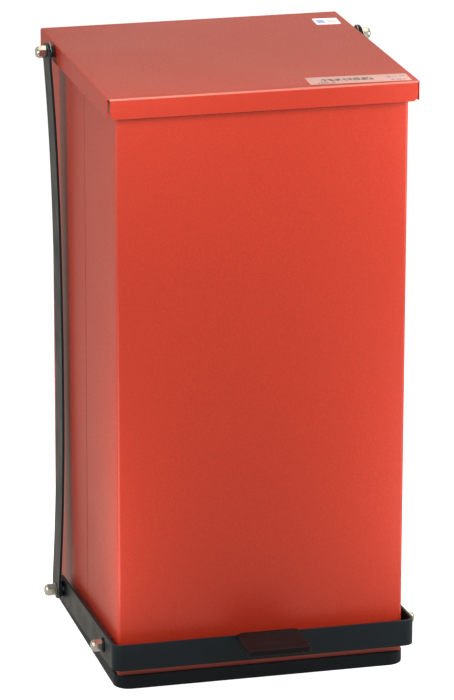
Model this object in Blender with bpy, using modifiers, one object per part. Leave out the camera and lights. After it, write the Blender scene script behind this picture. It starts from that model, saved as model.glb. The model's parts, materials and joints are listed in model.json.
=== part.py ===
"""Square step-on waste can.

A sheet-steel body stands on a moulded base and holds a loose liner. A pedal frame turns on two
side bolts, and two flat links carry its motion up to the lid, which is hinged along the rear edge.

Metres, +Z up, +X to the right, -Y to the front. The origin is on the floor, under the centre of the lid.
"""

import math

import bmesh
import bpy
from mathutils import Matrix, Vector

SIDES = (("left", -1), ("right", 1))

# Sheet metal and clearances
SHEET = 0.0009
STRAP = 0.003
GAP = 0.0003
SEGMENTS = 20
LINING = 2 * (SHEET + GAP)  # from the body's outer face to what stands inside its lapped seams

# Lid
LID_WIDTH = 0.3916
LID_DEPTH = 0.381
LID_TOP = 0.762
LID_FLANGE = 0.0254
LID_BEND = 0.0022
LID_CORNER = 0.007

# Body
BODY_HALF = 0.184
BODY_FRONT = -0.182
BODY_REAR = 0.184
BODY_BOTTOM = 0.0173
BODY_TOP = 0.756
BODY_EDGE = 0.004
SEAM_Y = -0.009
PAN_RISE = 0.015
RIM_LEG = 0.014
RIM_SHELF = 0.0075
RIM_SHEET = 0.0012

# Base
BASE_HALF = 0.1876
BASE_TOP = 0.017
BASE_RADIUS = 0.020
BASE_RECESS = 0.165
BASE_FLOOR = 0.004

# Screws between floor pan and base
SCREW_X = 0.1725
SCREW_Y = 0.171
SCREW_R = 0.002
SCREW_HOLE = 0.0024

# Liner
LINER_TOP = 0.728
LINER_HALF = 0.166
LINER_TAPER = 0.005
LINER_CENTRE_Y = 0.001
LINER_CORNER = 0.018
LINER_SHEET = 0.0008
HAND_HOLE = (0.110, 0.030)
HAND_HOLE_DROP = 0.045

# Joint axes, as (y, z)
LID_AXIS = (0.1876, 0.7574)
LID_PIN = (0.113, 0.750)
PEDAL_AXIS = (-0.146, 0.0465)
ARM_PIN = (0.095, 0.0345)

# Pedal frame
FRAME_FRONT = -0.205
FRAME_HALF = 0.1955
FRAME_HEIGHT = 0.034
FRAME_TOP = 0.0658
FRAME_BEND = 0.014
FRAME_SLOPE = 0.0431
ARM_END = 0.014
SLOT_TRAVEL_Y = 0.00974
SLOT_TRAVEL_Z = 0.00443

# Pedal
PEDAL_X = 0.002
PEDAL_WIDTH = 0.080
PEDAL_FRONT = -0.2683
PEDAL_TOP = 0.0685
PEDAL_BOTTOM = 0.0603

# Links
LINK_WIDTH = 0.038
LINK_END = 0.011  # how far the rounded ends reach past each pin
LINK_LOW_X = 0.2002
LINK_HIGH_X = 0.2024
LINK_BOW = 0.009
LINK_FLAT = 0.012  # straight stretch from each pin

# Fasteners
BOLT_R = 0.0045
HOLE_R = 0.0048
NUT_R = 0.0082
NUT_HEX = 0.0100
NUT_LENGTH = 0.0135

# Hinge
HINGE_R = 0.0032
HINGE_LEAF = 0.0012
HINGE_HALF = 0.170
HINGE_KNUCKLES = 5
HINGE_RIVET_R = 0.002
HINGE_RIVET_HOLE = 0.0024
HINGE_RIVET_DROP = 0.025

# Turns of a rod that lies along X
ALONG_Y = Matrix.Rotation(math.pi / 2, 4, "Z")
ALONG_Z = Matrix.Rotation(math.pi / 2, 4, "Y")
# The turn from a plan outline to one seen from the side, whose height becomes a width along X
ON_SIDE = Matrix.Rotation(math.pi / 2, 4, "Z") @ Matrix.Rotation(math.pi / 2, 4, "X")


# ---------------------------------------------------------------- scene


def clear_scene():
    for obj in list(bpy.data.objects):
        bpy.data.objects.remove(obj, do_unlink=True)


def new_collection(name):
    collection = bpy.data.collections.new(name)
    bpy.context.scene.collection.children.link(collection)
    return collection


def material(name, colour, roughness, metallic):
    made = bpy.data.materials.new(name)
    made.use_nodes = True
    shader = made.node_tree.nodes["Principled BSDF"]
    shader.inputs["Base Color"].default_value = (*colour, 1.0)
    shader.inputs["Roughness"].default_value = roughness
    shader.inputs["Metallic"].default_value = metallic
    return made


def joint_empty(name, location, parent=None):
    """An empty on a joint's axis, which the moving pieces are parented to."""
    empty = bpy.data.objects.new(name, None)
    empty.location = location
    PARTS.objects.link(empty)
    if parent:
        attach(empty, parent)
    return empty


def attach(obj, parent):
    """Parents an object and leaves it where it stands."""
    bpy.context.view_layer.update()
    obj.parent = parent
    obj.matrix_parent_inverse = parent.matrix_world.inverted()


# ---------------------------------------------------------------- shapes


def rounded(corners, radii, steps=4, closed=True):
    """An outline whose corners are replaced by arcs. An open outline keeps its two end points."""
    points = []
    count = len(corners)
    for i, corner in enumerate(corners):
        if radii[i] == 0 or (not closed and i in (0, count - 1)):
            points.append(tuple(corner))
            continue
        corner = Vector(corner)
        back = (Vector(corners[i - 1]) - corner).normalized()
        ahead = (Vector(corners[(i + 1) % count]) - corner).normalized()
        half = back.angle(ahead) / 2
        centre = corner + (back + ahead).normalized() * radii[i] / math.sin(half)
        start = corner + back * radii[i] / math.tan(half) - centre
        end = corner + ahead * radii[i] / math.tan(half) - centre
        first = math.atan2(start.y, start.x)
        turn = (math.atan2(end.y, end.x) - first + math.pi) % math.tau - math.pi
        for step in range(steps + 1):
            angle = first + turn * step / steps
            offset = Vector((math.cos(angle), math.sin(angle))) * radii[i]
            points.append(tuple(centre + offset))
    return points


def rectangle(half_x, low_y, high_y, radius, steps=4):
    corners = ((-half_x, low_y), (half_x, low_y), (half_x, high_y), (-half_x, high_y))
    return rounded(corners, (radius,) * 4, steps)


def loft(bm, loops, caps=0):
    """Quads from each (outline, z) loop to the next, with the first loop, or both end loops, filled."""
    rings = [[bm.verts.new((x, y, z)) for x, y in outline] for outline, z in loops]
    for low, high in zip(rings, rings[1:]):
        for i in range(len(low)):
            bm.faces.new((low[i - 1], low[i], high[i], high[i - 1]))
    for end in (rings[0], rings[-1])[:caps]:
        bm.faces.new(end)


def new_verts(result):
    return [item for item in result["geom"] if isinstance(item, bmesh.types.BMVert)]


def wall(path, low, high):
    """An open sheet that follows a path in plan, from one height to another."""
    bm = bmesh.new()
    verts = [bm.verts.new((x, y, low)) for x, y in path]
    edges = [bm.edges.new(pair) for pair in zip(verts, verts[1:])]
    risen = bmesh.ops.extrude_edge_only(bm, edges=edges)
    bmesh.ops.translate(bm, vec=(0, 0, high - low), verts=new_verts(risen))
    return bm


def slab(outline, low, high):
    """A solid of one outline, from one height to another."""
    bm = bmesh.new()
    loft(bm, ((outline, low), (outline, high)), caps=2)
    bmesh.ops.recalc_face_normals(bm, faces=bm.faces)
    return bm


def face_away(bm, inside):
    """Turns an open sheet so that its faces all point away from a place inside it."""
    bmesh.ops.recalc_face_normals(bm, faces=bm.faces)
    bm.normal_update()
    inside = Vector(inside)
    outward = 0.0
    for face in bm.faces:
        outward += face.normal.dot(face.calc_center_median() - inside) * face.calc_area()
    if outward < 0:
        bmesh.ops.reverse_faces(bm, faces=bm.faces)


def smooth(mesh, angle=35):
    mesh.shade_smooth()
    mesh.set_sharp_from_angle(angle=math.radians(angle))


def place(name, bm, finish, parent=None, collection=None):
    """Makes an object from a bmesh that is drawn in world coordinates."""
    mesh = bpy.data.meshes.new(name)
    bm.to_mesh(mesh)
    bm.free()
    obj = bpy.data.objects.new(name, mesh)
    (collection or PARTS).objects.link(obj)
    if finish:
        mesh.materials.append(finish)
    if parent:
        attach(obj, parent)
    return obj


def cutter(name, bm):
    obj = place(name, bm, None, collection=CUTTERS)
    obj.hide_render = True
    obj.display_type = "WIRE"
    return obj


def combine(obj, other, operation="DIFFERENCE"):
    modifier = obj.modifiers.new(f"{operation.lower()} {other.name}", "BOOLEAN")
    modifier.object = other
    modifier.operation = operation
    modifier.solver = "EXACT"


def thicken(obj, thickness=SHEET, offset=-1.0):
    modifier = obj.modifiers.new("thickness", "SOLIDIFY")
    modifier.thickness = thickness
    modifier.offset = offset
    modifier.use_even_offset = True


def round_edges(obj, width, segments=2, angle=40):
    modifier = obj.modifiers.new("rounded edges", "BEVEL")
    modifier.width = width
    modifier.segments = segments
    modifier.limit_method = "ANGLE"
    modifier.angle_limit = math.radians(angle)


def rod(radius, start, end, y, z, sides=SEGMENTS):
    """A solid cylinder along X."""
    bm = bmesh.new()
    bmesh.ops.create_cone(
        bm, cap_ends=True, segments=sides, radius1=radius, radius2=radius, depth=abs(end - start)
    )
    centre = Matrix.Translation(((start + end) / 2, y, z))
    bmesh.ops.transform(bm, matrix=centre @ Matrix.Rotation(math.pi / 2, 4, "Y"), verts=bm.verts)
    return bm


def drill(name, radius, spot, turn, reach=0.010):
    """A round cutter through a spot, along the axis that a turn takes X to."""
    hole = rod(radius, -reach, reach, 0, 0, 12)
    bmesh.ops.transform(hole, matrix=Matrix.Translation(spot) @ turn, verts=hole.verts)
    return cutter(name, hole)


def block(low, high):
    """A box between two corners."""
    bm = bmesh.new()
    bmesh.ops.create_cube(bm, size=1.0)
    size = [high[i] - low[i] for i in range(3)]
    centre = [(high[i] + low[i]) / 2 for i in range(3)]
    scale = Matrix.Diagonal((*size, 1.0))
    bmesh.ops.transform(bm, matrix=Matrix.Translation(centre) @ scale, verts=bm.verts)
    return bm


def turned(name, profile, sides=SEGMENTS, closed=False):
    """The mesh of a profile of (radius, height) turned about Z, outer side from top to bottom."""
    mesh = bpy.data.meshes.new(name)
    edges = [(i, i + 1) for i in range(len(profile) - 1)]
    if closed:
        edges.append((len(profile) - 1, 0))
    mesh.from_pydata([(radius, 0, height) for radius, height in profile], edges, [])
    obj = bpy.data.objects.new(name, mesh)
    CUTTERS.objects.link(obj)
    modifier = obj.modifiers.new("turn", "SCREW")
    modifier.axis = "Z"
    modifier.steps = sides
    modifier.render_steps = sides
    modifier.use_merge_vertices = True
    modifier.merge_threshold = 0.00001
    return evaluated(obj)


def evaluated(obj):
    """The mesh of an object with its modifiers applied. The object itself is removed."""
    name = obj.name
    graph = bpy.context.evaluated_depsgraph_get()
    mesh = bpy.data.meshes.new_from_object(obj.evaluated_get(graph))
    bpy.data.objects.remove(obj, do_unlink=True)
    mesh.name = name
    smooth(mesh)
    return mesh


def fit(name, mesh, location, axis, parent=None):
    """Places a turned or hexagonal piece with its own +Z along an axis."""
    obj = bpy.data.objects.new(name, mesh)
    obj.location = location
    obj.rotation_euler = Vector(axis).to_track_quat("Z", "Y").to_euler()
    PARTS.objects.link(obj)
    if parent:
        attach(obj, parent)
    return obj


# ---------------------------------------------------------------- fastener meshes


def washer_mesh(name, radius, thickness, finish):
    profile = ((radius, thickness), (radius, 0), (HOLE_R, 0), (HOLE_R, thickness))
    mesh = turned(name, profile, closed=True)
    mesh.materials.append(finish)
    return mesh


def bolt_mesh(name, head_radius, head, length, finish, sides=6):
    """A bolt with its head below Z = 0 and its shank above."""
    bm = bmesh.new()
    bmesh.ops.create_cone(
        bm, cap_ends=True, segments=sides, radius1=head_radius, radius2=head_radius, depth=head
    )
    bmesh.ops.translate(bm, vec=(0, 0, -head / 2), verts=bm.verts)
    obj = place(name, bm, finish, collection=CUTTERS)
    shank = bpy.data.objects.new(name + "_shank", turned("shank", shank_profile(length, head)))
    CUTTERS.objects.link(shank)
    combine(obj, shank, "UNION")
    mesh = evaluated(obj)
    bpy.data.objects.remove(shank, do_unlink=True)
    return mesh


def shank_profile(length, sunk):
    chamfer = 0.0008
    return (
        (0, length),
        (BOLT_R - chamfer, length),
        (BOLT_R, length - chamfer),
        (BOLT_R, -sunk / 2),
        (0, -sunk / 2),
    )


def cap_nut_mesh(name, finish):
    """A hexagon cap nut on Z = 0, with a blind bore for the bolt's end."""
    bm = bmesh.new()
    bmesh.ops.create_cone(bm, cap_ends=True, segments=6, radius1=NUT_R, radius2=NUT_R, depth=NUT_HEX)
    bmesh.ops.translate(bm, vec=(0, 0, NUT_HEX / 2), verts=bm.verts)
    nut = place(name, bm, finish, collection=CUTTERS)
    chamfer = 0.0009
    inner = NUT_R * math.cos(math.pi / 6)
    envelope = (
        (0, NUT_HEX),
        (inner, NUT_HEX),
        (NUT_R, NUT_HEX - chamfer),
        (NUT_R, chamfer),
        (inner, 0),
        (0, 0),
    )
    crown = NUT_LENGTH - NUT_HEX + 0.001
    crown_radius = inner - 0.0004
    arc = [math.pi / 2 * i / 4 for i in range(5)]
    dome = [(crown_radius * math.sin(a), NUT_LENGTH - crown * (1 - math.cos(a))) for a in arc]
    dome.append((0, NUT_HEX - 0.001))
    bore = ((0, 0.011), (HOLE_R, 0.011), (HOLE_R, -0.001), (0, -0.001))
    tools = []
    for label, profile, operation in (
        ("envelope", envelope, "INTERSECT"),
        ("crown", dome, "UNION"),
        ("bore", bore, "DIFFERENCE"),
    ):
        tool = bpy.data.objects.new(label, turned(label, profile))
        CUTTERS.objects.link(tool)
        combine(nut, tool, operation)
        tools.append(tool)
    mesh = evaluated(nut)
    for tool in tools:
        bpy.data.objects.remove(tool, do_unlink=True)
    return mesh


def rivet_mesh(name, head_radius, head, shank_radius, length, tail, finish, sides=12):
    """A domed rivet: head above Z = 0, shank below, and a tail of its own radius (or none)."""
    profile = [(0, head), (head_radius * 0.6, head * 0.85), (head_radius, head * 0.3), (head_radius, 0)]
    profile.append((shank_radius, 0))
    if tail:
        profile += [(shank_radius, -length), (tail, -length), (tail, -length - 0.001), (0, -length - 0.001)]
    else:
        profile += [(shank_radius, -length), (0, -length)]
    mesh = turned(name, profile, sides)
    mesh.materials.append(finish)
    return mesh


# ---------------------------------------------------------------- can body


def make_base():
    """Moulded tray with a wide ledge that the body stands on."""
    outer = rectangle(BASE_HALF, -BASE_HALF, BASE_HALF, BASE_RADIUS, 6)
    foot = rectangle(BASE_HALF - 0.0015, -BASE_HALF + 0.0015, BASE_HALF - 0.0015, BASE_RADIUS - 0.0015, 6)
    recess = rectangle(BASE_RECESS, -BASE_RECESS, BASE_RECESS, BASE_RADIUS / 2, 6)
    edge = 0.0015
    bm = bmesh.new()
    loops = (
        (foot, 0),
        (outer, edge),
        (outer, BASE_TOP - edge),
        (foot, BASE_TOP),
        (recess, BASE_TOP),
        (recess, BASE_FLOOR),
    )
    loft(bm, loops, caps=2)
    bmesh.ops.recalc_face_normals(bm, faces=bm.faces)
    base = place("base_moulding", bm, MOULDED)
    for name, x, y in screw_places():
        combine(base, drill(f"screw_hole_{name}", SCREW_HOLE, (x, y, BASE_TOP), ALONG_Z))


def screw_places():
    for row, y in (("front", -SCREW_Y), ("rear", SCREW_Y)):
        for side, sign in SIDES:
            yield f"{row}_{side}", sign * SCREW_X, y


def make_floor_pan():
    """Shallow steel pan that closes the body's bottom and is screwed to the base."""
    half = BODY_HALF - LINING
    low, high = BODY_FRONT + LINING, BODY_REAR - LINING
    outline = rectangle(half, low, high, BODY_EDGE - SHEET)
    bm = bmesh.new()
    loft(bm, ((outline, BODY_BOTTOM), (outline, BODY_BOTTOM + PAN_RISE)), caps=1)
    face_away(bm, (0, 0, BODY_BOTTOM + PAN_RISE / 2))
    pan = place("floor_pan", bm, PAINT)
    thicken(pan)
    for name, _, _ in screw_places():
        combine(pan, bpy.data.objects[f"screw_hole_{name}"])
    screw = rivet_mesh("base_screw", 0.004, 0.0022, SCREW_R, 0.009, None, ZINC)
    for name, x, y in screw_places():
        top = BODY_BOTTOM + SHEET + GAP
        fit(f"base_screw_{name}", screw, (x, y, top), (0, 0, 1))


def make_body_shells():
    """Two U-shaped sheets, the rear one joggled behind the front one at the side seams."""
    front_end = SEAM_Y - 0.0015
    corners = (
        (-BODY_HALF, front_end),
        (-BODY_HALF, BODY_FRONT),
        (BODY_HALF, BODY_FRONT),
        (BODY_HALF, front_end),
    )
    path = rounded(corners, (0, BODY_EDGE, BODY_EDGE, 0), closed=False)
    bm = wall(path, BODY_BOTTOM, BODY_TOP)
    face_away(bm, (0, 0, 0.4))
    front = place("body_front_shell", bm, PAINT)
    thicken(front)
    combine(front, cutter("pivot_holes", rod(HOLE_R, -0.21, 0.21, *PEDAL_AXIS)))

    lap = BODY_HALF - SHEET - GAP
    right = (
        (lap, SEAM_Y - 0.015),
        (lap, SEAM_Y - 0.0011),
        (BODY_HALF, SEAM_Y + 0.0009),
        (BODY_HALF, BODY_REAR),
    )
    left = tuple((-x, y) for x, y in reversed(right))
    path = rounded(right + left, (0, 0, 0, BODY_EDGE, BODY_EDGE, 0, 0, 0), closed=False)
    bm = wall(path, BODY_BOTTOM, BODY_TOP)
    face_away(bm, (0, 0, 0.4))
    rear = place("body_rear_shell", bm, PAINT)
    thicken(rear)
    for name, x, z in hinge_rivet_places():
        combine(rear, drill(f"hinge_hole_{name}", HINGE_RIVET_HOLE, (x, BODY_REAR, z), ALONG_Y))


def make_mouth_rim():
    """Folded angle inside the top of the shells, which stiffens the mouth."""
    half, low, high = BODY_HALF - LINING, BODY_FRONT + LINING, BODY_REAR - LINING
    outer = rectangle(half, low, high, BODY_EDGE - SHEET)
    inner = rectangle(half - RIM_SHELF, low + RIM_SHELF, high - RIM_SHELF, BODY_EDGE - SHEET)
    bm = bmesh.new()
    loft(bm, ((outer, BODY_TOP - RIM_LEG), (outer, BODY_TOP), (inner, BODY_TOP)))
    face_away(bm, (0, 0, BODY_TOP - 0.1))
    rim = place("mouth_rim", bm, PAINT)
    thicken(rim, RIM_SHEET)


def make_liner():
    """Loose tapered liner with a rolled rim and two hand holes."""
    bottom = BODY_BOTTOM + SHEET + GAP
    loops = []
    for z, out in (
        (bottom, -LINER_TAPER),
        (LINER_TOP - 0.003, 0),
        (LINER_TOP, 0.0010),
        (LINER_TOP, 0.0045),
        (LINER_TOP - 0.004, 0.0050),
    ):
        half = LINER_HALF + out
        low, high = LINER_CENTRE_Y - half, LINER_CENTRE_Y + half
        loops.append((rectangle(half, low, high, LINER_CORNER, 5), z))
    bm = bmesh.new()
    loft(bm, loops, caps=1)
    face_away(bm, (0, 0, LINER_TOP / 2))
    liner = place("waste_liner", bm, GALVANISED, LINER_EMPTY)
    thicken(liner, LINER_SHEET)
    length, height = HAND_HOLE
    outline = rectangle(length / 2, -height / 2, height / 2, height / 2 - 0.001, 5)
    hole = slab(outline, -0.21, 0.21)
    middle = Matrix.Translation((0, LINER_CENTRE_Y, LINER_TOP - HAND_HOLE_DROP))
    bmesh.ops.transform(hole, matrix=middle @ ON_SIDE, verts=hole.verts)
    combine(liner, cutter("hand_holes", hole))


# ---------------------------------------------------------------- lid and hinge


def make_lid():
    """One folded sheet: a flat top with a front flange and two side flanges, open at the front corners."""
    half_x, half_y = LID_WIDTH / 2, LID_DEPTH / 2
    x, y = half_x - LID_BEND, half_y - LID_BEND
    bm = bmesh.new()
    plan = ((-x, -y), (x, -y), (x, half_y), (-x, half_y))
    corners = [bm.verts.new((*corner, LID_TOP)) for corner in plan]
    bm.faces.new(corners)
    steps = 4
    turns = [math.pi / 2 * (i + 1) / steps for i in range(steps)]
    folds = [(LID_BEND * math.sin(a), LID_BEND * (1 - math.cos(a))) for a in turns]
    folds.append((LID_BEND, LID_FLANGE))
    for start, end, out in ((0, 1, (0, -1)), (1, 2, (1, 0)), (3, 0, (-1, 0))):
        edge = bm.edges.get((corners[start], corners[end]))
        reached, dropped = 0.0, 0.0
        for outward, down in folds:
            risen = bmesh.ops.extrude_edge_only(bm, edges=[edge])
            edge = next(item for item in risen["geom"] if isinstance(item, bmesh.types.BMEdge))
            step = outward - reached
            bmesh.ops.translate(bm, vec=(out[0] * step, out[1] * step, dropped - down), verts=edge.verts)
            reached, dropped = outward, down
        if out[1]:
            bmesh.ops.bevel(
                bm, geom=list(edge.verts), offset=LID_CORNER, segments=4, profile=0.5, affect="VERTICES"
            )
    face_away(bm, (0, 0, LID_TOP - 0.2))
    lid = place("lid_shell", bm, PAINT, LID_EMPTY)
    thicken(lid)
    combine(lid, cutter("lid_bolt_holes", rod(HOLE_R, -0.21, 0.21, *LID_PIN)))
    bumper_profile = ((0, 0), (0.006, 0), (0.0065, -0.0035), (0.005, -0.0042), (0, -0.0042))
    bumper = turned("lid_bumper", bumper_profile, 16)
    bumper.materials.append(RUBBER)
    for side, sign in SIDES:
        place_at = (sign * (BODY_HALF - 0.008), BODY_FRONT + 0.010, LID_TOP - SHEET - GAP)
        fit(f"lid_bumper_{side}", bumper, place_at, (0, 0, 1), LID_EMPTY)


def make_labels():
    """A rating plate and a small stock sticker, both blank, on top of the lid."""
    for name, centre, size, turn, finish in (
        ("rating_label", (0.124, -0.1657), (0.127, 0.035), -3.0, CLEAR_LABEL),
        ("stock_sticker", (0.168, 0.1374), (0.032, 0.033), -4.0, WHITE_LABEL),
    ):
        half_x, half_y = size[0] / 2, size[1] / 2
        bm = slab(rectangle(half_x, -half_y, half_y, 0.0015, 3), 0, 0.0003)
        spot = Matrix.Translation((*centre, LID_TOP + GAP)) @ Matrix.Rotation(math.radians(turn), 4, "Z")
        bmesh.ops.transform(bm, matrix=spot, verts=bm.verts)
        place(name, bm, finish, LID_EMPTY)


def hinge_rivet_places():
    for number, x in enumerate((-0.150, -0.050, 0.050, 0.150), 1):
        yield number, x, LID_AXIS[1] - HINGE_RIVET_DROP


def make_hinge():
    """Piano hinge: knuckles taken in turn by the two leaves, on one pin."""
    y, z = LID_AXIS
    play = 0.0005
    length = 2 * HINGE_HALF / HINGE_KNUCKLES
    lid_plate = block((-HINGE_HALF, y - 0.030, z + HINGE_R - HINGE_LEAF), (HINGE_HALF, y, z + HINGE_R))
    body_plate = block((-HINGE_HALF, y - HINGE_R, z - 0.035), (HINGE_HALF, y - HINGE_R + HINGE_LEAF, z))
    bore = cutter("hinge_bore", rod(0.0019, -0.2, 0.2, y, z, 12))
    leaves = (
        ("hinge_lid_leaf", lid_plate, 1, LID_EMPTY),
        ("hinge_body_leaf", body_plate, 0, None),
    )
    for name, plate, first, parent in leaves:
        leaf = place(name, plate, STEEL, parent)
        combine(leaf, cutter(name + "_barrel", rod(HINGE_R, -HINGE_HALF, HINGE_HALF, y, z, 16)), "UNION")
        combine(leaf, bore)
        for knuckle in range(1 - first, HINGE_KNUCKLES, 2):
            start = -HINGE_HALF + knuckle * length - play
            reach = HINGE_R + play
            gap = block((start, y - reach, z - reach), (start + length + 2 * play, y + reach, z + reach))
            combine(leaf, cutter(f"{name}_gap_{knuckle}", gap))
    for number, _, _ in hinge_rivet_places():
        combine(bpy.data.objects["hinge_body_leaf"], bpy.data.objects[f"hinge_hole_{number}"])
    place("hinge_pin", rod(0.0016, -HINGE_HALF - 0.002, HINGE_HALF + 0.002, y, z, 12), STEEL)
    grip = BODY_REAR + GAP + HINGE_LEAF + GAP
    length = grip - BODY_REAR + SHEET + GAP
    rivet = rivet_mesh("hinge_rivet", 0.004, 0.0018, HINGE_RIVET_R, length, 0.0034, STEEL)
    for number, x, height in hinge_rivet_places():
        fit(f"hinge_rivet_{number}", rivet, (x, grip, height), (0, 1, 0))


# ---------------------------------------------------------------- pedal frame and links


def frame_drop(y):
    """How far the strap has fallen, behind its front face."""
    return FRAME_SLOPE * (y - FRAME_FRONT)


def make_pedal_frame():
    """One flat bar bent to a U, whose arms fall slightly towards the rear."""
    end = ARM_PIN[0] + ARM_END
    corners = (
        (-FRAME_HALF, end),
        (-FRAME_HALF, FRAME_FRONT),
        (FRAME_HALF, FRAME_FRONT),
        (FRAME_HALF, end),
    )
    path = rounded(corners, (0, FRAME_BEND, FRAME_BEND, 0), 6, closed=False)
    bm = wall(path, FRAME_TOP - FRAME_HEIGHT, FRAME_TOP)
    tips = [vert for vert in bm.verts if abs(vert.co.y - end) < 1e-6]
    bmesh.ops.bevel(bm, geom=tips, offset=ARM_END, segments=5, profile=0.5, affect="VERTICES")
    for vert in bm.verts:
        vert.co.z -= frame_drop(vert.co.y)
    face_away(bm, (0, 0, 0.05))
    frame = place("pedal_strap", bm, BLACK_PAINT, PEDAL_EMPTY)
    thicken(frame, STRAP)
    combine(frame, bpy.data.objects["pivot_holes"])

    half_y = SLOT_TRAVEL_Y / 2 + HOLE_R
    half_z = SLOT_TRAVEL_Z / 2 + HOLE_R
    outline = rectangle(half_y, -half_z, half_z, HOLE_R, 4)
    slot = slab(outline, -0.21, 0.21)
    middle = (0, ARM_PIN[0] - SLOT_TRAVEL_Y / 2, ARM_PIN[1] + SLOT_TRAVEL_Z / 2)
    bmesh.ops.transform(slot, matrix=Matrix.Translation(middle) @ ON_SIDE, verts=slot.verts)
    combine(frame, cutter("arm_slots", slot))


def make_pedal():
    """Rubber pad on a steel tongue, its rear lip lying over the strap."""
    half = PEDAL_WIDTH / 2
    strap_face = FRAME_FRONT - GAP
    corners = (
        (PEDAL_X - half, PEDAL_FRONT),
        (PEDAL_X + half, PEDAL_FRONT),
        (PEDAL_X + half, FRAME_FRONT + STRAP),
        (PEDAL_X - half, FRAME_FRONT + STRAP),
    )
    pad = place(
        "pedal_pad",
        slab(rounded(corners, (0.002, 0.002, 0.007, 0.007), 4), PEDAL_BOTTOM, PEDAL_TOP),
        RUBBER,
        PEDAL_EMPTY,
    )
    step = block((-0.1, strap_face, 0.04), (0.1, 0, FRAME_TOP + GAP))
    combine(pad, cutter("pad_step", step))
    round_edges(pad, 0.0011)

    tongue_top = PEDAL_BOTTOM - GAP
    tongue_half = half - 0.006
    outline = rounded(
        (
            (PEDAL_X - tongue_half, PEDAL_FRONT + 0.006),
            (PEDAL_X + tongue_half, PEDAL_FRONT + 0.006),
            (PEDAL_X + tongue_half, strap_face),
            (PEDAL_X - tongue_half, strap_face),
        ),
        (0.006, 0.006, 0, 0),
    )
    tongue = place("pedal_tongue", slab(outline, tongue_top - STRAP, tongue_top), BLACK_PAINT, PEDAL_EMPTY)
    rivet = rivet_mesh("pedal_rivet", 0.005, 0.002, 0.0025, 0.0075, None, BLACK_PAINT)
    for side, sign in SIDES:
        x, y = PEDAL_X + sign * 0.022, PEDAL_FRONT + 0.034
        hole = drill(f"pedal_rivet_hole_{side}", 0.0029, (x, y, PEDAL_BOTTOM - 0.005), ALONG_Z)
        combine(tongue, hole)
        combine(pad, hole)
        fit(f"pedal_rivet_{side}", rivet, (x, y, tongue_top - STRAP - GAP), (0, 0, -1), PEDAL_EMPTY)


def make_link(side, sign, parent):
    """Flat bar with rounded ends, bowed towards the body between its pins."""
    rise = Vector((LID_PIN[0] - ARM_PIN[0], LID_PIN[1] - ARM_PIN[1]))
    length, along = rise.length, rise.normalized()
    half = LINK_WIDTH / 2
    arc = [math.radians(a) for a in (90, 72, 54, 36, 18, 0)]
    near = [LINK_FLAT, 0.030, 0.055, 0.085, 0.120, 0.170, 0.230]
    middle = [length * share for share in (0.4, 0.5, 0.6)]
    shank = near + middle + [length - reach for reach in reversed(near)]
    stations = [(-LINK_END * math.sin(a), half * math.cos(a)) for a in arc]
    stations += [(station, half) for station in shank]
    stations += [(length + LINK_END * math.sin(a), half * math.cos(a)) for a in reversed(arc)]
    bm = bmesh.new()
    bmesh.ops.create_grid(bm, x_segments=len(stations) - 1, y_segments=1, size=1.0)
    for vert in bm.verts:
        station, half_width = stations[round((vert.co.x + 1) / 2 * (len(stations) - 1))]
        across = half_width * (1 if vert.co.y > 0 else -1)
        share = min(max(station / length, 0.0), 1.0)
        inner = LINK_LOW_X + (LINK_HIGH_X - LINK_LOW_X) * share
        past_flat = max(min(station, length - station) - LINK_FLAT, 0.0)
        wave = math.sin(math.pi * past_flat / (length - 2 * LINK_FLAT))
        bow = LINK_BOW * wave * (1.6 - 0.6 * wave)
        y = ARM_PIN[0] + along.x * station + along.y * across
        z = ARM_PIN[1] + along.y * station - along.x * across
        vert.co = (sign * (inner - bow), y, z)
    bmesh.ops.remove_doubles(bm, verts=bm.verts, dist=0.00001)
    face_away(bm, (0, 0.1, 0.4))
    bar = place(f"link_bar_{side}", bm, BLACK_PAINT, parent)
    thicken(bar, STRAP, 1.0)
    outside = sign * 0.23
    combine(bar, cutter(f"link_hole_low_{side}", rod(HOLE_R, sign * 0.19, outside, *ARM_PIN)))
    combine(bar, cutter(f"link_hole_high_{side}", rod(HOLE_R, sign * 0.19, outside, *LID_PIN)))


def stack(pieces, start, sign, pin, parent):
    """Threads pieces along +X or -X from a start, each a gap past the one before."""
    reach = start
    for name, mesh, thickness in pieces:
        fit(name, mesh, (sign * reach, *pin), (sign, 0, 0), parent)
        reach += thickness + GAP
    return reach


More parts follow.
